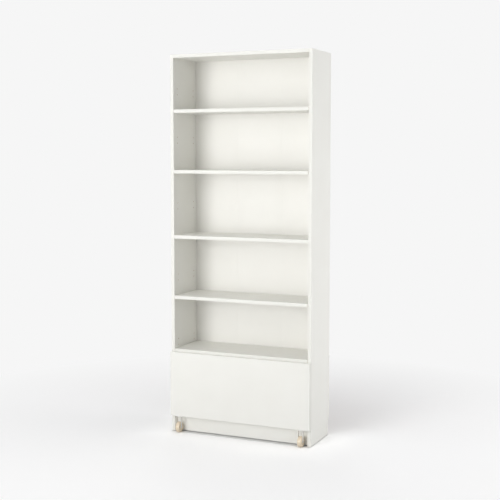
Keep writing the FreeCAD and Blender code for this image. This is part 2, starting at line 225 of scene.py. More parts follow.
white_foil, tree, shader, place = finish("white_foil", 0.42, specular=0.35)
drift = noise(tree, place, 6.0, 3.0)
link(tree, shader, "Base Color", toned(tree, drift, FOIL_SHADE, FOIL_LIGHT))
link(tree, shader, "Roughness", between(tree, noise(tree, place, 45.0), 0.38, 0.47))
peel = noise(tree, place, 650.0)
pores = noise(tree, stretched(tree, place, (2600.0, 2600.0, 420.0)), 1.0)
together = add(tree, "Math", {0: peel, 1: product(tree, pores, ramp(tree, pores, 0.5, 0.7))}, operation="ADD")
raise_surface(tree, shader, together, 0.00006, 0.5)
print("white foil:", len(tree.nodes), "nodes")

# %% [markdown]
# ## Edge strip
#
# The front edges are finished with a separate strip, glued on and rounded. Its colour is a close match
# to the foil, never a perfect one, and it is drawn lengthwise through a die, so its gloss is a little
# streaky. Streaks come from noise that is squeezed across the board and stretched along it.

# %% Edge strip
STRIP_LIGHT = (0.868, 0.864, 0.818)
STRIP_SHADE = (0.848, 0.842, 0.795)


def edge_strip(name, scale):
    """A glued edge strip whose streaks run along the axis with the smallest scale."""
    material, tree, shader, place = finish(name, 0.46, specular=0.3)
    streaks = noise(tree, stretched(tree, place, scale), 1.0, 3.0)
    link(tree, shader, "Base Color", toned(tree, streaks, STRIP_SHADE, STRIP_LIGHT))
    link(tree, shader, "Roughness", between(tree, streaks, 0.42, 0.50))
    raise_surface(tree, shader, streaks, 0.00004, 0.5)
    return material


strip_upright = edge_strip("edge_strip_upright", (900.0, 900.0, 14.0))
strip_level = edge_strip("edge_strip_level", (14.0, 900.0, 900.0))
print("edge strips made")

# %% [markdown]
# ## Raw chipboard
#
# Where a board is cut or drilled, its core shows: pressed wood chips of a few tones, lighter and darker,
# with little gaps between them. A Voronoi pattern gives the chips, because each of its cells has one
# random colour, and the distance to the cell's middle gives the gaps.

# %% Raw chipboard
CHIP_TONES = ((0.30, 0.19, 0.10), (0.62, 0.46, 0.28))

chipboard, tree, shader, place = finish("raw_chipboard", 0.85, specular=0.2)
flat = stretched(tree, place, (620.0, 620.0, 240.0))
bent = noise(tree, place, 900.0, 2.0)
cells = add(tree, "TexVoronoi", {"Vector": flat, "Scale": 1.0}, "Color")
chip = add(tree, "SeparateColor", {"Color": cells})
gaps = add(tree, "TexVoronoi", {"Vector": flat, "Scale": 1.0}, "Distance")
link(tree, shader, "Base Color", mixed(tree, ramp(tree, product(tree, chip, bent), 0.0, 0.6), *CHIP_TONES))
raise_surface(tree, shader, ramp(tree, gaps, 0.0, 0.8, 1.0, 0.0), 0.0004, 0.7)
print("chipboard made")

# %% [markdown]
# ## Hardboard back and drawer bottom
#
# The back is three leaves of thin hardboard, lacquered white on the face that shows and bare behind.
# The lacquer is smooth with a very slight roller texture. The bare side is brown felted fibre, and it
# keeps the print of the wire screen it was pressed on: a fine square mesh, made here from two crossed
# wave patterns.

# %% Lacquered hardboard
LACQUER_LIGHT = (0.883, 0.874, 0.836)
LACQUER_SHADE = (0.866, 0.856, 0.816)

lacquer, tree, shader, place = finish("white_lacquer", 0.36, specular=0.4)
drift = noise(tree, place, 5.0, 3.0)
link(tree, shader, "Base Color", toned(tree, drift, LACQUER_SHADE, LACQUER_LIGHT))
stipple = noise(tree, stretched(tree, place, (700.0, 700.0, 90.0)), 1.0, 2.0)
link(tree, shader, "Roughness", between(tree, stipple, 0.32, 0.41))
raise_surface(tree, shader, stipple, 0.00004, 0.4)
print("lacquer made")

# %% Bare hardboard
FIBRE_DARK, FIBRE_LIGHT = (0.150, 0.080, 0.038), (0.330, 0.200, 0.105)
SCREEN_PITCH = 0.0016
WAVE_PERIOD = 0.314  # metres from band to band of a wave pattern whose scale is 1

hardboard, tree, shader, place = finish("bare_hardboard", 0.8, specular=0.25)
fibre = noise(tree, stretched(tree, place, (420.0, 420.0, 130.0)), 1.0, 5.0, 1.5)
cloud = ramp(tree, noise(tree, place, 11.0, 3.0), 0.0, 1.0, 0.32, 0.68)
tone = add(tree, "Math", {0: fibre, 1: cloud}, operation="ADD")
link(tree, shader, "Base Color", mixed(tree, ramp(tree, tone, 0.7, 1.35), FIBRE_DARK, FIBRE_LIGHT))
waves = [
    add(tree, "TexWave", {"Vector": place, "Scale": WAVE_PERIOD / SCREEN_PITCH}, "Fac", bands_direction=axis)
    for axis in ("X", "Z")
]
raise_surface(tree, shader, product(tree, *waves), 0.00012, 0.6)
print("bare hardboard made")

# %% [markdown]
# ## Metals, plastics and wood
#
# The fittings are zinc-plated steel, white powder coat and moulded plastic. Zinc is bright but cloudy,
# so its tone and its roughness both follow a mottled noise. Powder coat is a thick paint with an orange
# peel of about a millimetre. Nylon lets a little light in below its surface.

# %% Zinc plate
ZINC_DARK, ZINC_LIGHT = (0.56, 0.57, 0.59), (0.76, 0.77, 0.78)

zinc, tree, shader, place = finish("zinc_plate", 0.36, metallic=1.0)
mottle = noise(tree, place, 420.0, 4.0, 0.6)
link(tree, shader, "Base Color", toned(tree, mottle, ZINC_DARK, ZINC_LIGHT))
link(tree, shader, "Roughness", between(tree, mottle, 0.44, 0.28))
raise_surface(tree, shader, noise(tree, place, 2200.0), 0.00003, 0.5)
print("zinc made")

# %% Powder coat and plastics
def moulded(name, light, shade, roughness, grain, depth, soft=0.0):
    """A plain coloured coat or plastic with a fine grain pressed into it."""
    material, tree, shader, place = finish(name, roughness, specular=0.45)
    drift = noise(tree, place, 60.0, 2.0)
    link(tree, shader, "Base Color", toned(tree, drift, shade, light))
    fine = noise(tree, place, grain, 2.0)
    link(tree, shader, "Roughness", between(tree, fine, roughness - 0.05, roughness + 0.06))
    raise_surface(tree, shader, fine, depth, 0.6)
    shader.inputs["Subsurface Weight"].default_value = soft
    shader.inputs["Subsurface Radius"].default_value = (0.002, 0.002, 0.0015)
    return material


# After each name: the light and the shaded tone, roughness, the grain's scale and depth, and softness.
powder = moulded("white_powder_coat", (0.89, 0.885, 0.85), (0.87, 0.86, 0.825), 0.40, 1100.0, 0.00008)
plastic = moulded("white_plastic", (0.86, 0.855, 0.82), (0.84, 0.835, 0.80), 0.45, 2400.0, 0.00003)
nylon = moulded("nylon", (0.80, 0.79, 0.74), (0.77, 0.76, 0.70), 0.38, 1800.0, 0.00003, 0.25)
bumper = moulded("clear_bumper", (0.74, 0.74, 0.72), (0.70, 0.70, 0.68), 0.22, 900.0, 0.00002, 0.4)
tape = moulded("paper_tape", (0.80, 0.785, 0.73), (0.76, 0.745, 0.69), 0.62, 260.0, 0.00012)
print("powder coat, plastics and tape made")

# %% [markdown]
# ## Turned beech
#
# The wheels are cut from pale beech. The grain runs straight across the disc, so the side faces show
# long fine streaks, and the tread shows long grain in two places and end grain in two others. One
# pattern in space gives all of that: noise stretched along the grain, wavy growth bands, and the short
# dark flecks that beech has. A thin satin lacquer goes over it as a coat.

# %% Beech
BEECH_LIGHT = (0.885, 0.785, 0.630)
BEECH_DARK = (0.770, 0.635, 0.455)
BEECH_FLECK = (0.550, 0.380, 0.220)


def beech_wood(name, coat):
    """Beech whose grain runs along Z: streaks plus 0.45 times the growth bands, with flecks over them."""
    material, tree, shader, place = finish(name, 0.46, specular=0.4)
    streaks = noise(tree, stretched(tree, place, (900.0, 900.0, 45.0)), 1.0, 4.0)
    wavy = stretched(tree, place, (1.0, 1.0, 0.12))
    bands = add(tree, "TexWave", {"Vector": wavy, "Scale": 95.0, "Distortion": 3.5, "Detail": 2.0,
                                  "Detail Scale": 1.4}, "Fac", bands_direction="Y")
    grain = product(tree, streaks, ramp(tree, streaks, 0.0, 1.0, 1.0, 1.2))
    tone = add(tree, "Math", {0: bands, 1: 0.45, 2: grain}, operation="MULTIPLY_ADD")
    wood = mixed(tree, ramp(tree, tone, 0.35, 1.0), BEECH_LIGHT, BEECH_DARK)
    dashes = add(tree, "TexVoronoi", {"Vector": stretched(tree, place, (1500.0, 1500.0, 330.0)), "Scale": 1.0})
    fleck = ramp(tree, dashes, 0.10, 0.22, 0.55, 0.0)
    link(tree, shader, "Base Color", mixed(tree, fleck, wood, BEECH_FLECK))
    link(tree, shader, "Roughness", between(tree, streaks, 0.40, 0.52))
    raise_surface(tree, shader, streaks, 0.00008, 0.5)
    shader.inputs["Coat Weight"].default_value = coat
    shader.inputs["Coat Roughness"].default_value = 0.32
    return material


beech = beech_wood("turned_beech", 0.8)
dowel_beech = beech_wood("dowel_beech", 0.0)
print("beech made")

# %% [markdown]
# ## Dressing the boards
#
# A board has several finishes at once: foil on its faces, a strip on its front edge, bare chips on its
# ends and in every hole and groove. The frame's meshes must not change shape, but each of their faces
# can carry its own material number. The rule reads where a face lies. A face within a millimetre of the
# board's skin is foil, one near the front is strip, and whatever lies deeper is bare core. A bare end is
# core as well, and its faces are those on the end that also look along the board.

# %% Give each face its finish
FOIL, STRIP, CORE = 0, 1, 2
SKIN = 0.00105
ON_END, SQUARE_ON = 1e-5, 0.9


def faces_of(node):
    """The middle and the direction of every face of a node, as arrays."""
    mesh = frame["nodes"][node].data
    middles, normals = np.empty(len(mesh.polygons) * 3), np.empty(len(mesh.polygons) * 3)
    mesh.polygons.foreach_get("center", middles)
    mesh.polygons.foreach_get("normal", normals)
    return middles.reshape(-1, 3), normals.reshape(-1, 3)


def dress(node, finishes, numbers):
    """Give a node its finishes, and each of its faces the number of one of them."""
    mesh = frame["nodes"][node].data
    mesh.materials.clear()
    for material in finishes:
        mesh.materials.append(material)
    mesh.polygons.foreach_set("material_index", np.broadcast_to(numbers, len(mesh.polygons)).astype(np.int32))
    mesh.update()


def dress_board(node, strip, front=None, bare=()):
    """Foil, strip and core. front is the axis and end that has the strip; bare lists bare ends.

    reach is how far a face lies from the board's low and high end along each axis.
    """
    low, high = (np.array(corner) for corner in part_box(node))
    middles, normals = faces_of(node)
    reach = np.stack([middles - low, high - middles])
    numbers = np.where(reach.min(axis=(0, 2)) > SKIN, CORE, FOIL)
    for axis, end in bare:
        numbers[(reach[end, :, axis] < ON_END) & (np.abs(normals[:, axis]) > SQUARE_ON)] = CORE
    if front is not None:
        axis, end = front
        numbers[(reach[end, :, axis] < SKIN) & (numbers == FOIL)] = STRIP
    dress(node, (white_foil, strip, chipboard), numbers)
    return np.bincount(numbers, minlength=3)


# %% Dress the boards
X, Y, Z, LOW, HIGH = 0, 1, 2, 0, 1
ENDS = ((X, LOW), (X, HIGH))
print("faces of foil, strip and core:")
for node in ("side_left", "side_right"):
    print(node, dress_board(node, strip_upright, (Y, LOW), [(Z, LOW)]))
for node in ("top_panel", "middle_shelf", "bottom_panel",
             "shelf_bottom", "shelf_lower", "shelf_upper", "shelf_top"):
    print(node, dress_board(node, strip_level, (Y, LOW), ENDS))
for node in ("plinth", "drawer_back"):
    print(node, dress_board(node, strip_level, None, ENDS))
for node in ("drawer_side_left", "drawer_side_right"):
    print(node, dress_board(node, strip_level, (Z, HIGH), [(Y, LOW), (Y, HIGH)]))
print("drawer_front", dress_board("drawer_front", strip_level))

# %% [markdown]
# The thin sheets have two sides: lacquer on the side that is seen in use, bare fibre on the other side.
# The lacquer runs over the thin edges too. A slot between white edges stays pale, between brown ones it
# would draw a dark line down the back wherever two leaves meet.

# %% Dress the sheets and the plain fittings
for node, axis, sense in (
    ("back_leaf_left", Y, -1), ("back_leaf_middle", Y, -1), ("back_leaf_right", Y, -1), ("drawer_bottom", Z, 1),
):
    normals = faces_of(node)[1]
    dress(node, (lacquer, hardboard), sense * normals[:, axis] <= -0.5)

plain = {
    "zinc_steel": zinc, "white_steel": powder, "white_plastic": plastic, "nylon": nylon,
    "clear_bumper": bumper, "beech": beech, "dowel_beech": dowel_beech, "back_tape": tape,
}
for node, slot in slot_of.items():
    if slot in plain:
        dress(node, (plain[slot],), 0)
print("dressed", len(slot_of), "nodes")

# %% [markdown]
# ## Surfaces from arrays
#
# The boards stay as the frame has them, because they are flat already. The small pieces are made again as
# finer surfaces, each one a grid of points worked out with numpy. Four ways of making a grid cover them
# all: turn a profile round an axis, carry a section along a line, shrink an outline towards its middle,
# or shape a disc round a cross-shaped recess. `solids_in` measures the coarse solids of the frame, so
# that each fine piece lands in its place and takes its size from there.

# %% Measure the solids of a node
def solids_in(node):
    """The box of each separate solid of a node: its lowest and highest corner, in metres.

    Faces that share a corner belong together. Each corner starts with its own number, and the smallest
    number of each face spreads to its corners until nothing changes.
    """
    mesh = frame["nodes"][node].data
    points, corners = np.empty(len(mesh.vertices) * 3), np.empty(len(mesh.loops), dtype=np.int64)
    mesh.vertices.foreach_get("co", points)
    mesh.loops.foreach_get("vertex_index", corners)
    points = points.reshape(-1, 3)
    rounded_points, same = np.unique(np.round(points, 6), axis=0, return_inverse=True)
    faces = same.reshape(-1)[corners].reshape(-1, 3)
    number = np.arange(len(rounded_points))
    while True:
        spread = number.copy()
        np.minimum.at(spread, faces.reshape(-1), np.repeat(number[faces].min(axis=1), 3))
        spread = spread[spread]
        if np.array_equal(spread, number):
            break
        number = spread
    groups = [rounded_points[number == n] for n in np.unique(number[faces])]
    return [(group.min(axis=0), group.max(axis=0)) for group in groups]


print("solids of the castor screws:", len(solids_in("castor_screws")))

# %% Make a piece from grids
SAME_PLACE = 2e-6


def piece(name, grids, material, nodes, sharp=34.0):
    """One object from several grids of points, each given with whether its rows and columns close up.

    Each grid becomes a net of four-sided faces. Points that meet are merged, which also closes the poles,
    the faces are turned outwards, and edges above the sharp angle stay crisp.
    """
    vertices, faces, start = [], [], 0
    for points, close_rows, close_columns in grids:
        rows, columns = points.shape[:2]
        index = start + np.arange(rows * columns).reshape(rows, columns)
        index = np.vstack([index, index[:1]]) if close_rows else index
        index = np.hstack([index, index[:, :1]]) if close_columns else index
        net = np.stack([index[:-1, :-1], index[1:, :-1], index[1:, 1:], index[:-1, 1:]], axis=-1)
        vertices.append(points.reshape(-1, 3))
        faces.append(net.reshape(-1, 4))
        start += rows * columns
    mesh = bpy.data.meshes.new(name)
    mesh.from_pydata(np.vstack(vertices).tolist(), [], np.vstack(faces).tolist())
    surface = bmesh.new()
    surface.from_mesh(mesh)
    bmesh.ops.remove_doubles(surface, verts=surface.verts, dist=SAME_PLACE)
    bmesh.ops.dissolve_degenerate(surface, edges=surface.edges, dist=1e-6)
    bmesh.ops.recalc_face_normals(surface, faces=surface.faces)
    open_edges = sum(1 for edge in surface.edges if len(edge.link_faces) != 2)
    surface.to_mesh(mesh)
    surface.free()
    mesh.polygons.foreach_set("use_smooth", np.ones(len(mesh.polygons), dtype=bool))
    mesh.set_sharp_from_angle(angle=math.radians(sharp))
    mesh.materials.append(material)
    made = bpy.data.objects.new(name, mesh)
    bpy.context.scene.collection.objects.link(made)
    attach(made, frame["nodes"][nodes[0]]["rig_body"])
    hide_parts(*nodes)
    print(f"{name}: {len(mesh.polygons)} faces, {open_edges} open edges")


# %% Turn a profile
def arc(middle, radius, start, end, count):
    """Points on a circle between two angles in degrees: the middle plus radius times cosine and sine."""
    angle = np.radians(np.linspace(start, end, count))
    return np.stack([middle[0] + radius * np.cos(angle), middle[1] + radius * np.sin(angle)], axis=-1)


def turned(profile, steps=64):
    """Turn a profile of (along, radius) points round the first axis, in equal steps."""
    along, radius = np.asarray(profile, float).T
    angle = np.linspace(0, 2 * np.pi, steps, endpoint=False)
    ring = np.stack([np.ones(steps), np.cos(angle), np.sin(angle)], axis=-1)
    return ring[None] * np.stack([along, radius, radius], axis=-1)[:, None]


print("a line turned in 8 steps:", turned([(0, 1), (1, 1)], 8).shape)

# %% Ease an outline
def eased(corners, radius, steps=5):
    """A closed outline of (a, b) corners in which each corner becomes an arc, square corners assumed.

    From a corner the arc starts one radius back along one side and ends one radius along the next. Its
    points blend between the two by sine and cosine about the arc's own middle.
    """
    corners = np.asarray(corners, float)
    back = np.roll(corners, 1, axis=0) - corners
    ahead = np.roll(corners, -1, axis=0) - corners
    back /= np.linalg.norm(back, axis=1, keepdims=True)
    ahead /= np.linalg.norm(ahead, axis=1, keepdims=True)
    angle = np.linspace(0, np.pi / 2, steps)[:, None]
    reach = np.broadcast_to(radius, len(corners))[:, None, None]
    bend = back[:, None] * (1 - np.sin(angle)) + ahead[:, None] * (1 - np.cos(angle))
    return (corners[:, None] + reach * bend).reshape(-1, 2)


print("points of an eased square:", len(eased([(1, -1), (1, 1), (-1, 1), (-1, -1)], 0.2)))

# %% Carry a section along a line
def carried(section, path, across, up, scale=None):
    """Carry a closed section of (a, b) points along a path: each point is place + a across + b up.

    across and up are given for each point of the path. scale widens or narrows the section's a and b
    there. A first and a last row, all at the path's ends, close the surface.
    """
    section, path = np.asarray(section, float), np.asarray(path, float)
    scale = np.ones((len(path), 2)) if scale is None else np.asarray(scale, float)
    a, b = section[None, :, 0] * scale[:, :1], section[None, :, 1] * scale[:, 1:]
    rows = path[:, None] + a[..., None] * across[:, None] + b[..., None] * up[:, None]
    caps = [np.repeat(path[end][None, None], len(section), axis=1) for end in (0, -1)]
    return np.concatenate([caps[0], rows, caps[1]])


# %% Lay a grid in its place
def laid(points, middle, axis, sense=1):
    """Stand a grid made along the first axis on another axis, and move it to its middle.

    The other two axes follow in turn, and a sense of -1 turns the grid half round.
    """
    order = {X: (0, 1, 2), Y: (2, 0, 1), Z: (1, 2, 0)}[axis]
    stood = points[..., order] * 1.0
    if sense < 0:
        stood[..., axis] *= -1
        stood[..., (axis + 1) % 3] *= -1
    return stood + np.asarray(middle, float)


print("grids ready")

# %% A slab with eased edges
LEAST_CORNER = 1e-5


def box_outline(half_a, half_b, corner):
    """The outline of a rounded rectangle, as a function of how far it is drawn in."""
    def outline(inset):
        a, b = half_a - inset, half_b - inset
        return eased([(a, -b), (a, b), (-a, b), (-a, -b)], max(corner - inset, LEAST_CORNER))
    return outline


def slab(outline, low, high, ease):
    """A flat body between two heights along the first axis, whose rim is rounded over.

    Going round the rim by an angle, the outline is drawn in by ease times (1 - sine), and the height
    falls by ease times (1 - cosine). A point in the middle of each face closes the body.
    """
    angle = np.radians([0, 22, 45, 67, 90])
    inset = ease * (1 - np.sin(angle))
    height = high - ease * (1 - np.cos(angle))
    loops = [np.insert(outline(i), 0, h, axis=1) for i, h in zip(inset, height)]
    loops += [np.insert(outline(i), 0, low + high - h, axis=1) for i, h in zip(inset[::-1], height[::-1])]
    middle = loops[0][:, 1:].mean(axis=0)
    ends = [np.tile((h, *middle), (len(loops[0]), 1)) for h in (high, low)]
    return np.array([ends[0], *loops, ends[1]])


print("grid of a small slab:", slab(box_outline(0.020, 0.010, 0.004), 0.0, 0.005, 0.001).shape)

# %% [markdown]
# ## Turned wheels
#
# Each castor wheel is a plain beech disc with rounded shoulders, turned on a lathe. Its section is a
# closed loop from the bore, up one side, over the tread and back, so the turned surface closes by itself.
# The tread swells very slightly towards its middle, as a hand-sanded wheel does.

# %% Castor wheels
MM = 0.001
SHOULDER, BORE_EDGE, SWELL = 4.0 * MM, 0.5 * MM, 0.25 * MM
CORNER_POINTS, TREAD_POINTS, WHEEL_STEPS = 9, 7, 112


def wheel(half, radius, bore):
    """A disc between -half and half, its bore and tread edges eased, its tread swollen by a parabola.

    The tread's points go in after the first two of the four eased corners.
    """
    corners = [(-half, bore), (-half, radius - SWELL), (half, radius - SWELL), (half, bore)]
    section = eased(corners, np.array([BORE_EDGE, SHOULDER, SHOULDER, BORE_EDGE]), CORNER_POINTS)
    tread = np.linspace(-1, 1, TREAD_POINTS + 2)[1:-1] * (half - SHOULDER)
    crown = np.stack([tread, radius - SWELL * (tread / half) ** 2], axis=-1)
    section = np.vstack([section[:2 * CORNER_POINTS], crown, section[2 * CORNER_POINTS:]])
    return turned(section, WHEEL_STEPS)


for side in ("left", "right"):
    node = "castor_wheel_" + side
    (low, high), = solids_in(node)
    bush_low, bush_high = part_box("castor_bush_" + side)
    half, radius = (high[X] - low[X]) / 2, (high[Z] - low[Z]) / 2
    grid = laid(wheel(half, radius, (bush_high.z - bush_low.z) / 2), (low + high) / 2, X)
    piece("wheel_" + side, [(grid, True, True)], beech, [node], 50.0)

# %% [markdown]
# ## Forks
#
# The fork is one strip of steel bent into an upside-down U and welded under a plate. The strip is a thin
# rounded section carried along a bent line. Towards its two ends the section narrows along a circle, which
# rounds the ends off below the axle. The plate is a slab with round corners.

# %% Castor forks
PLATE, CHEEK, BEND, THIN_EASE = 2.0 * MM, 1.5 * MM, 2.25 * MM, 0.35 * MM
FORK_HALF_WIDTH, FORK_ROOM, PLATE_CORNER = 7.0 * MM, 0.6 * MM, 4.0 * MM


def bent_strip(half_span, bottom, top, half_width, thickness):
    """An upside-down U: up one leg, round two quarter bends and down the other leg.

    A distance d from an end, the half width is that of a circle: the square root of w² - (w - d)².
    """
    turn = np.radians(np.linspace(0, 90, 10)[1:])
    ends = bottom + half_width * (1 - np.cos(turn))
    leg = np.stack([np.full(9, -half_span), ends], axis=-1)
    bend = arc((-half_span + BEND, top - BEND), BEND, 180, 90, 8)
    half_path = np.vstack([[(-half_span, bottom)], leg, bend, [(-BEND, top)]])
    line = np.vstack([half_path, half_path[::-1] * (-1, 1)])
    width = np.concatenate([[1e-3], np.sin(turn), np.ones(9)])
    width = np.concatenate([width, width[::-1]])
    along = np.gradient(line, axis=0)
    along /= np.linalg.norm(along, axis=1, keepdims=True)
    path = np.insert(line, 1, 0.0, axis=1)
    up = np.stack([-along[:, 1], np.zeros(len(line)), along[:, 0]], axis=-1)
    across = np.tile((0.0, 1.0, 0.0), (len(line), 1))
    section = eased([(half_width, -thickness / 2), (half_width, thickness / 2),
                     (-half_width, thickness / 2), (-half_width, -thickness / 2)], THIN_EASE)
    return carried(section, path, across, up, np.stack([width, np.ones(len(width))], axis=-1))


for side in ("left", "right"):
    node = "castor_fork_" + side
    (low, high), = solids_in(node)
    wheel_low, wheel_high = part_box("castor_wheel_" + side)
    middle = np.array([(low[X] + high[X]) / 2, (low[Y] + high[Y]) / 2, 0.0])
    half_span = (wheel_high.x - wheel_low.x) / 2 + FORK_ROOM + CHEEK / 2
    strip = bent_strip(half_span, low[Z], high[Z] - PLATE - CHEEK / 2, FORK_HALF_WIDTH, CHEEK) + middle
    outline = box_outline((high[X] - low[X]) / 2, (high[Y] - low[Y]) / 2, PLATE_CORNER)
    plate = laid(slab(outline, 0.0, PLATE, THIN_EASE), middle + (0, 0, high[Z] - PLATE), Z)
    piece("fork_" + side, [(strip, False, True), (plate, False, True)], powder, [node])

# %% [markdown]
# ## Rivets, pins and rollers
#
# Everything here is turned: a rivet with two domed heads, pins with low heads, soft bumpers, glides with a
# rounded foot, the nails of the back, and nylon rollers whose sides are hollowed to save plastic. A solid
# bar starts and ends on the axis, so the poles close it. A roller has a bore, so its section is a closed
# loop instead.

# %% Axles and roller pins
SHANK = 3.0 * MM


def dome(crown, sense, radius, rise):
    """Profile of a domed head from the axis to its rim: along = crown - rise (1 - cos t), radius = r sin t."""
    t = np.linspace(0, np.pi / 2, 8)
    return np.stack([crown - sense * rise * (1 - np.cos(t)), radius * np.sin(t)], axis=-1)


def rivet(half, radius, head):
    """A shank between two heads whose domes nearly fill the thickness of each head."""
    left = np.vstack([dome(-half, -1, radius, 0.8 * head), [(head - half, radius), (head - half, SHANK)]])
    return turned(np.vstack([left, left[::-1] * (-1, 1)]))


def roller_pin(length, radius, head, collar, room):
    """From the outer end inwards: a domed head, room for the roller, a collar, and the anchored end."""
    steps = [(-head, radius), (-head, SHANK), (-head - room, SHANK), (-head - room, radius),
             (-head - room - collar, radius), (-head - room - collar, SHANK),
             (0.4 * MM - length, SHANK), (-length, SHANK - 0.4 * MM), (-length, 0)]
    return turned(np.vstack([dome(0.0, 1, radius, 0.5 * head), steps]))


grids = []
for low, high in solids_in("castor_axles"):
    half, radius = (high[X] - low[X]) / 2, (high[Z] - low[Z]) / 2
    grids.append((laid(rivet(half, radius, head=1.2 * MM), (low + high) / 2, X), False, True))
piece("axles", grids, zinc, ["castor_axles"])

grids = []
for low, high in solids_in("roller_pins"):
    middle, sense = (low + high) / 2, np.sign(low[X])
    middle[X] = high[X] if sense > 0 else low[X]
    length, radius = high[X] - low[X], (high[Z] - low[Z]) / 2
    pin = roller_pin(length, radius, head=1.0 * MM, collar=1.2 * MM, room=9.6 * MM)
    grids.append((laid(pin, middle, X, sense), False, True))
piece("roller_pins_turned", grids, zinc, ["roller_pins"])

# %% Rear rollers
def roller(half, radius, bore):
    """A rim and a hub joined by a thinner web: a closed section of square steps, all eased."""
    hub, rim, web = 5.4 * MM, radius - 2.2 * MM, 1.6 * MM
    right = [(half, radius), (half, rim), (web, rim), (web, hub), (half, hub), (half, bore)]
    left = [(-a, r) for a, r in right[::-1]]
    ease = np.array([0.8, 0.3, 0.5, 0.5, 0.3, 0.3]) * MM
    return turned(eased(left + right, np.concatenate([ease[::-1], ease])))


for side in ("left", "right"):
    node = "rear_roller_" + side
    (low, high), = solids_in(node)
    shell = roller((high[X] - low[X]) / 2, (high[Z] - low[Z]) / 2, bore=SHANK + 0.05 * MM)
    grid = laid(shell, (low + high) / 2, X)
    piece("roller_" + side, [(grid, True, True)], nylon, [node])

# %% Glides and bumpers
def button(radius, thickness, flat, rise):
    """A low button: a flat middle, a quarter ellipse down to the rim, and a flat base."""
    t = np.linspace(0, np.pi / 2, 8)
    bulge = np.stack([-rise * (1 - np.cos(t)), flat + (radius - flat) * np.sin(t)], axis=-1)
    return turned(np.vstack([[(0, 0)], bulge, [(-thickness, radius), (-thickness, 0)]]), 48)


glides = []
for low, high in solids_in("foot_glides"):
    middle = (low + high) / 2
    middle[Z] = low[Z]
    glide = button(7.0 * MM, high[Z] - low[Z], flat=5.5 * MM, rise=1.0 * MM)
    glides.append((laid(glide, middle, Z, -1), False, True))
piece("glides", glides, plastic, ["foot_glides"])

bumpers = []
for low, high in solids_in("front_bumpers"):
    middle = (low + high) / 2
    middle[Y] = high[Y]
    soft = button(4.0 * MM, high[Y] - low[Y], flat=1.6 * MM, rise=1.6 * MM)
    bumpers.append((laid(soft, middle, Y), False, True))
piece("bumpers", bumpers, bumper, ["front_bumpers"])

# %% Nails of the back
NAIL_HEAD, NAIL_CROWN, NAIL_DOME, NAIL_TIP = 2.0 * MM, 0.45 * MM, 0.35 * MM, 1.5 * MM
nails = []
for low, high in solids_in("back_pins"):
    middle, radius, length = (low + high) / 2, (high[Z] - low[Z]) / 2, high[Y] - low[Y]
    middle[Y] = high[Y]
    head = dome(NAIL_CROWN, 1, NAIL_HEAD, NAIL_DOME)
    nail = np.vstack([head, [(0, NAIL_HEAD), (0, radius), (NAIL_TIP - length, radius), (-length, 0)]])
    nails.append((laid(turned(nail, 24), middle, Y), False, True))
piece("back_nails", nails, zinc, ["back_pins"])

# %% [markdown]
# ## Screws and cam discs
#
# A crosshead screw shows one thing above all: its recess. A disc of rings can't hold a cross, so the rings'
# points are gathered at the walls of the cross. On a ring of radius r, a wall at half width w lies at the
# angle whose sine is w / r. The points between the walls are shared out evenly, and towards the rim all
# points drift back to equal steps. Below the head the thread is a ridge that climbs one pitch in each
# turn. The cam discs have the same cross, only wider.

# %% A face with a cross recess
def cross_face(radius, crown, arm, reach, depth, draft):
    """Rings of 32 points. Height = crown (1 - (r / R)²) - depth times the cross, whose walls lean by draft.

    The cross is the greater of its two arms. An arm is 1 inside its walls and falls to 0 over the draft.
    """
    low_arm, low_reach = arm - draft, reach - draft
    core = np.sqrt(2) * np.array([0.5 * low_arm, low_arm, arm])
    arms = np.linspace(core[-1], low_reach, 5)[1:]
    ring = np.concatenate([[1e-9], core, arms, np.linspace(reach, radius, 6)])[:, None]
    quarter = np.pi / 2
    first = np.minimum(np.arcsin(np.minimum(low_arm / ring, 1)), quarter / 2)
    second = np.minimum(np.arcsin(np.minimum(arm / ring, 1)), quarter / 2)
    share = second + (quarter - 2 * second) * np.array([0.25, 0.5, 0.75])
    eighth = np.hstack([0 * ring, first, second, share, quarter - second, quarter - first])
    angle = (eighth[:, None] + quarter * np.arange(4)[:, None]).reshape(len(ring), -1)
    even = np.clip((ring - reach) / (radius - reach), 0, 1)
    angle = angle * (1 - even) + np.arange(32) * np.pi / 16 * even
    a, b = ring * np.cos(angle), ring * np.sin(angle)

    def inside(along, across):
        walls = np.clip((arm - np.abs(across)) / draft, 0, 1)
        return walls * np.clip((reach - np.abs(along)) / draft, 0, 1)

    height = crown * (1 - (ring / radius) ** 2) - depth * np.maximum(inside(a, b), inside(b, a))
    return np.stack([height, a, b], axis=-1)


print("grid of a small cross:", cross_face(4 * MM, 0.3 * MM, 0.7 * MM, 2.5 * MM, 1.1 * MM, 0.2 * MM).shape)

# %% A threaded shank
def threaded(shank, start, end, pitch):
    """Rows of a screw's shank from start down to end: the radius rises into a ridge once in each pitch.

    The ridge's place in a turn is the height over the pitch less the angle over a full turn. Its shape is a
    triangle a third of a pitch wide. The last two pitches taper to the tip.
    """
    rows = max(int((start - end) / pitch * 6), 8)
    height = np.linspace(start, end, rows)[:, None]
    angle = np.arange(32) * np.pi / 16
    turn = (height / pitch - angle / (2 * np.pi)) % 1.0
    ridge = np.clip(1 - np.abs(turn - 0.5) * 6, 0, 1)
    radius = shank * (0.72 + 0.28 * ridge) * np.clip((height - end) / (2 * pitch), 0, 1) ** 0.6
    return np.stack([height + 0 * angle, radius * np.cos(angle), radius * np.sin(angle)], axis=-1)


PITCH = 1.6 * MM
print("grid of a 12 mm shank:", threaded(2.0 * MM, 0.0, -12.0 * MM, PITCH).shape)

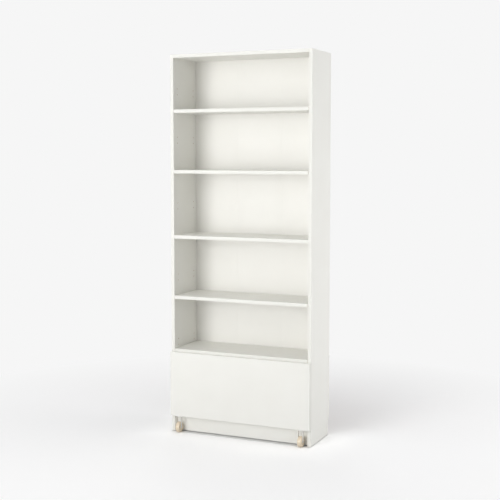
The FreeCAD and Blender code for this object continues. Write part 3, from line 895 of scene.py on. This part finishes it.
# %% Screws
def screw(head, thickness, crown, shank, length, sunk):
    """A crosshead wood screw whose face lies at height 0: a cone under a sunk head, or a step under a pan."""
    face = cross_face(head, crown, arm=0.17 * head, reach=0.62 * head,
                      depth=0.55 * thickness, draft=0.05 * head)
    below = [(-0.2 * MM, head), (-thickness, shank)] if sunk else [
        (-0.5 * thickness, head), (-thickness, head), (-thickness, shank)]
    neck = turned(below, 32)
    return np.concatenate([face, neck, threaded(shank, -thickness - 0.5 * MM, -length, PITCH)])


# Each row gives a node, its axis, and in millimetres the head's radius, thickness and crown, and the shank.
for node, axis, sizes in (
    ("castor_screws", Z, (3.2, 2.0, 0.35, 1.75)), ("drawer_back_screws", X, (4.0, 2.0, 0.30, 2.0)),
    ("drawer_stop_screws", X, (4.0, 2.0, 0.30, 2.0)), ("wall_bracket_screws", Z, (4.0, 1.6, 0.40, 2.0)),
):
    head, thickness, crown, shank = (size * MM for size in sizes)
    sunk = node != "wall_bracket_screws"
    shells = []
    for low, high in solids_in(node):
        outer = {"castor_screws": -1, "wall_bracket_screws": 1, "drawer_back_screws": np.sign(low[X]),
                 "drawer_stop_screws": -np.sign(low[X])}[node]
        middle = (low + high) / 2
        middle[axis] = high[axis] if outer > 0 else low[axis]
        middle[axis] -= 0 if sunk else outer * crown
        made = screw(head, thickness, crown, shank, high[axis] - low[axis], sunk)
        shells.append((laid(made, middle, axis, outer), False, True))
    piece(node + "_cross", shells, zinc, [node])

# %% Cam discs
CAM_RADIUS, CAM_CAP, CAM_HALF_WALL = 7.4 * MM, 5.0 * MM, 0.6 * MM
CAM_EASE, CAM_SUNK = 0.4 * MM, 0.25 * MM
TOP_REACH = 30.0 * MM


def cam_disc(radius, height, opening):
    """A disc with a cross recess over a C-shaped wall, open towards the bolt, whose direction is an angle."""
    face = cross_face(radius - CAM_EASE, 0.0, arm=0.9 * MM, reach=3.4 * MM, depth=2.2 * MM, draft=0.25 * MM)
    face -= (CAM_SUNK, 0, 0)
    rim = turned([(-CAM_SUNK - CAM_EASE, radius), (-CAM_CAP, radius), (-CAM_CAP, 0)], 32)
    angle = opening + np.radians(np.linspace(48, 312, 28))
    out = np.stack([0 * angle, np.cos(angle), np.sin(angle)], axis=-1)
    path = out * (radius - CAM_HALF_WALL) - ((CAM_CAP + height) / 2, 0, 0)
    a, b = CAM_HALF_WALL, (height - CAM_CAP) / 2
    section = eased([(a, -b), (a, b), (-a, b), (-a, -b)], 0.2 * MM)
    wall = carried(section, path, out, np.tile((1.0, 0.0, 0.0), (len(out), 1)))
    return np.concatenate([face, rim]), wall


# The cams of the top panel face up, all others of the carcass down, and those of the drawer inwards.
for node, axis, bolt_axis in (("cam_discs", Z, X), ("drawer_cam_discs", X, Y)):
    shells = []
    for low, high in solids_in(node):
        middle = (low + high) / 2
        if axis == Z:
            sense = 1 if high[Z] > cad_high.z - TOP_REACH else -1
        else:
            sense = -np.sign(middle[X])
        bolt = np.zeros(3)
        bolt[bolt_axis] = np.sign(middle[X]) if bolt_axis == X else -1.0
        opening = math.atan2(bolt[(axis + 2) % 3], sense * bolt[(axis + 1) % 3])
        middle[axis] = high[axis] if sense > 0 else low[axis]
        for grid in cam_disc(CAM_RADIUS, high[axis] - low[axis], opening):
            shells.append((laid(grid, middle, axis, sense), False, True))
    piece(node + "_cross", shells, zinc, [node])

# %% [markdown]
# ## Shelf pegs, stops and brackets
#
# A peg is a round pin with a head that is round below and flat on top, where the shelf lies. Its head is
# a slab whose outline is half a circle closed by a rounded bar. The drawer stops are small rounded slabs.
# The wall brackets are bent strips with a hole, which is simplest to keep as they are in the frame, copied
# and given a fine bevel.

# %% Shelf pegs
PEG_RADIUS, PEG_FLAT, PEG_CORNER, PEG_HEAD = 4.0 * MM, 3.0 * MM, 0.9 * MM, 11.0 * MM
PIN_RADIUS, PIN_TIP, PIN_TAPER = 2.4 * MM, 1.7 * MM, 0.6 * MM


def peg_outline(half, top, corner):
    """Half a circle below the axis, and a flat top with rounded corners above it, drawn in by the inset."""
    def outline(inset):
        r, c = half - inset, max(corner - inset, LEAST_CORNER)
        below = arc((0, 0), r, 180, 360, 17)
        right = arc((r - c, top - inset - c), c, 0, 90, 5)
        return np.vstack([below, right, right[::-1] * (-1, 1)])
    return outline


for node in ("pegs_bottom", "pegs_lower", "pegs_upper", "pegs_top"):
    shells = []
    for low, high in solids_in(node):
        sense = -np.sign(low[X])
        face = np.array([0.0, (low[Y] + high[Y]) / 2, high[Z] - PEG_FLAT])
        face[X] = (high[X] if sense > 0 else low[X]) - sense * PEG_HEAD
        head = slab(peg_outline(PEG_RADIUS, PEG_FLAT, PEG_CORNER), 0.0, PEG_HEAD, 0.5 * MM)
        reach = (high[X] - low[X]) - PEG_HEAD
        tip = [(PIN_TAPER - reach, PIN_RADIUS), (-reach, PIN_TIP), (-reach, 0)]
        pin = turned([(0, 0), (0, PIN_RADIUS), *tip], 32)
        shells += [(laid(grid, face, X, sense), False, True) for grid in (head, pin)]
    piece(node + "_eased", shells, plastic, [node])

# %% Drawer stops
for side in ("left", "right"):
    (low, high), = solids_in("drawer_stop_" + side)
    half = (high - low) / 2
    block = slab(box_outline(half[Y], half[Z], corner=2.5 * MM), -half[X], half[X], ease=1.0 * MM)
    piece("stop_" + side, [(laid(block, (low + high) / 2, X), False, True)], plastic, ["drawer_stop_" + side])

# %% Wall brackets
FLAT_ANGLE, EDGE_ANGLE = 0.01, 0.9


def bevelled(name, node, material, width):
    """A copy of a coarse solid with its doubles merged, its flat faces joined and its edges bevelled."""
    mesh = frame["nodes"][node].data.copy()
    surface = bmesh.new()
    surface.from_mesh(mesh)
    bmesh.ops.remove_doubles(surface, verts=surface.verts, dist=SAME_PLACE)
    bmesh.ops.dissolve_limit(surface, angle_limit=FLAT_ANGLE, verts=surface.verts, edges=surface.edges)
    sharp = [edge for edge in surface.edges if edge.calc_face_angle(0) > EDGE_ANGLE]
    bmesh.ops.bevel(surface, geom=sharp, offset=width, segments=3, profile=0.5, affect="EDGES",
                    clamp_overlap=True)
    surface.to_mesh(mesh)
    surface.free()
    mesh.polygons.foreach_set("use_smooth", np.ones(len(mesh.polygons), dtype=bool))
    mesh.set_sharp_from_angle(angle=math.radians(40))
    mesh.materials.clear()
    mesh.materials.append(material)
    made = bpy.data.objects.new(name, mesh)
    bpy.context.scene.collection.objects.link(made)
    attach(made, frame["nodes"][node]["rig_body"])
    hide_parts(node)
    print(f"{name}: {len(mesh.polygons)} faces")


bevelled("brackets", "wall_brackets", powder, 0.3 * MM)

# %% [markdown]
# ## Background and light
#
# The studio is white. The world looks like the backdrop to the camera and to mirrors, but lights the
# object with its own, softer level, which comes from overhead and fades out towards the horizon. The
# Light Path node tells those rays apart. A white object shows its form only by the light's direction, so
# each side gets its own square softbox: a key and a higher lamp to the left of the camera for the fronts,
# a low lamp and a weak high one for the right side, and one behind. None of them is bright enough to
# burn out the white edges.

# %% World
BACKDROP = (0.922, 0.922, 0.922)
HORIZON = (0.020, 0.020, 0.020)
OVERHEAD = (0.820, 0.822, 0.824)


def seen_ray(tree):
    """One where a ray comes from the camera, a reflection or a clear body, and zero elsewhere."""
    rays = add(tree, "LightPath").node.outputs
    both = add(tree, "Math", {0: rays["Is Camera Ray"], 1: rays["Is Glossy Ray"]}, operation="MAXIMUM")
    return add(tree, "Math", {0: both, 1: rays["Is Transmission Ray"]}, operation="MAXIMUM")


world = bpy.data.worlds.new("studio")
world.use_nodes = True
tree = world.node_tree
tree.nodes.clear()
height = add(tree, "SeparateXYZ", {0: add(tree, "TexCoord", out="Generated")}, "Z")
level = mixed(tree, ramp(tree, height, 0.0, 1.0), HORIZON, OVERHEAD)
colour = mixed(tree, seen_ray(tree), level, BACKDROP)
output = tree.nodes.new("ShaderNodeOutputWorld")
tree.links.new(add(tree, "Background", {"Color": colour, "Strength": 1.0}), output.inputs["Surface"])
bpy.context.scene.world = world
bpy.context.scene.view_settings.view_transform = "Standard"
print("world made")

# %% Lamps
def lamp(name, place, aim, width, watts):
    """A flat square lamp that faces a point and isn't seen itself."""
    data = bpy.data.lights.new(name, "AREA")
    data.shape, data.size, data.size_y, data.energy = "RECTANGLE", width, width, watts
    made = bpy.data.objects.new(name, data)
    made.location = place
    made.rotation_euler = (Vector(aim) - Vector(place)).to_track_quat("-Z", "Y").to_euler()
    made.visible_camera = False
    bpy.context.scene.collection.objects.link(made)


lamp("key", (-1.75, -5.74, 1.25), (0, 0, 0.95), 2.4, 123.0)
lamp("high", (-0.95, -5.42, 3.2), (0, 0, 1.0), 2.4, 61.0)
lamp("side", (4.1, 0.95, 0.8), (0.4, 0, 0.8), 2.2, 63.0)
lamp("side_high", (5.5, -3.2, 2.35), (0, 0, 1.0), 3.0, 21.0)
lamp("back", (-2.6, 4.6, 2.2), (0, 0, 1.0), 2.4, 40.0)
print("lamps made")

# %% [markdown]
# ## Floor
#
# The floor is a wide pale sheet. Close to the bookcase it is an ordinary matt surface, so it takes the
# soft shadow. Further out it fades into the backdrop's own colour, so that no edge or horizon shows
# from any side. The light that it throws back is set apart from how it looks: it throws back less near
# the foot, which keeps the shade under the drawer deep. Its seen colour carries a painted shade within
# the footprint, and a painted light in a narrow band just outside it, which brightens away most of the
# object's shadow there, so that only a thin line of shade marks where the feet stand.
# Its tones above one are only seen and never thrown back, so they add no light to the object.

# %% Floor
FLOOR_NEAR = (0.68, 0.68, 0.68)
FLOOR_FAR = (0.92, 0.92, 0.92)
# Seen colours painted near the foot: a painted shade under the footprint, a painted light in the band around
# it.
FLOOR_PAINTED_SHADE = (0.78, 0.78, 0.78)
FLOOR_PAINTED_LIGHT = (1.22, 1.22, 1.22)
FLOOR_SEEN = (1.090, 1.087, 1.092)
FLOOR_REACH = 30.0
FOOTPRINT = (0.39, 0.13, 0.0)
BOUNCE_START, BOUNCE_END = 0.5, 1.7
FADE_START, FADE_END = 0.8, 2.2
# Distances past the footprint where the painted shade turns into the painted light band, and where that band
# ends.
SHADE_START, BAND_START, BAND_END = -0.01, 0.02, 0.22

material = bpy.data.materials.new("floor")
material.use_nodes = True
tree = material.node_tree
tree.nodes.clear()
place = add(tree, "TexCoord", out="Object")
distance = add(tree, "VectorMath", {0: place}, "Value", operation="LENGTH")
lit = mixed(tree, ramp(tree, distance, BOUNCE_START, BOUNCE_END), FLOOR_NEAR, FLOOR_FAR)
one_quarter = add(tree, "VectorMath", {0: place}, operation="ABSOLUTE")
beyond = add(tree, "VectorMath", {0: one_quarter, 1: FOOTPRINT}, operation="SUBTRACT")
apart = add(tree, "SeparateXYZ", {0: beyond})
past = add(tree, "Math", {0: apart, 1: apart.node.outputs["Y"]}, operation="MAXIMUM")
# Painted shade within the footprint, turning into painted light in the band just outside it.
painted_shade_and_light = mixed(tree, ramp(tree, past, SHADE_START, BAND_START), FLOOR_PAINTED_SHADE, FLOOR_PAINTED_LIGHT)
seen = mixed(tree, ramp(tree, past, BAND_START, BAND_END), painted_shade_and_light, FLOOR_SEEN)
matt = add(tree, "BsdfDiffuse", {"Color": mixed(tree, seen_ray(tree), lit, seen)})
glow = add(tree, "Emission", {"Color": (*BACKDROP, 1.0), "Strength": 1.0})
far = ramp(tree, distance, FADE_START, FADE_END)
shader = add(tree, "MixShader", {0: product(tree, far, seen_ray(tree)), 1: matt, 2: glow})
output = tree.nodes.new("ShaderNodeOutputMaterial")
tree.links.new(shader, output.inputs["Surface"])

corners = [(x * FLOOR_REACH, y * FLOOR_REACH, 0) for x, y in ((-1, -1), (1, -1), (1, 1), (-1, 1))]
sheet = bpy.data.meshes.new("floor")
sheet.from_pydata(corners, [], [(0, 1, 2, 3)])
sheet.materials.append(material)
floor = bpy.data.objects.new("floor", sheet)
bpy.context.scene.collection.objects.link(floor)
floor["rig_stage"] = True
print("floor made")

# %% Sizes and finish
low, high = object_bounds()
{"cad": [list(cad_low), list(cad_high)], "visual": [list(low), list(high)]}
print("visual size", [round(v, 4) for v in high - low])
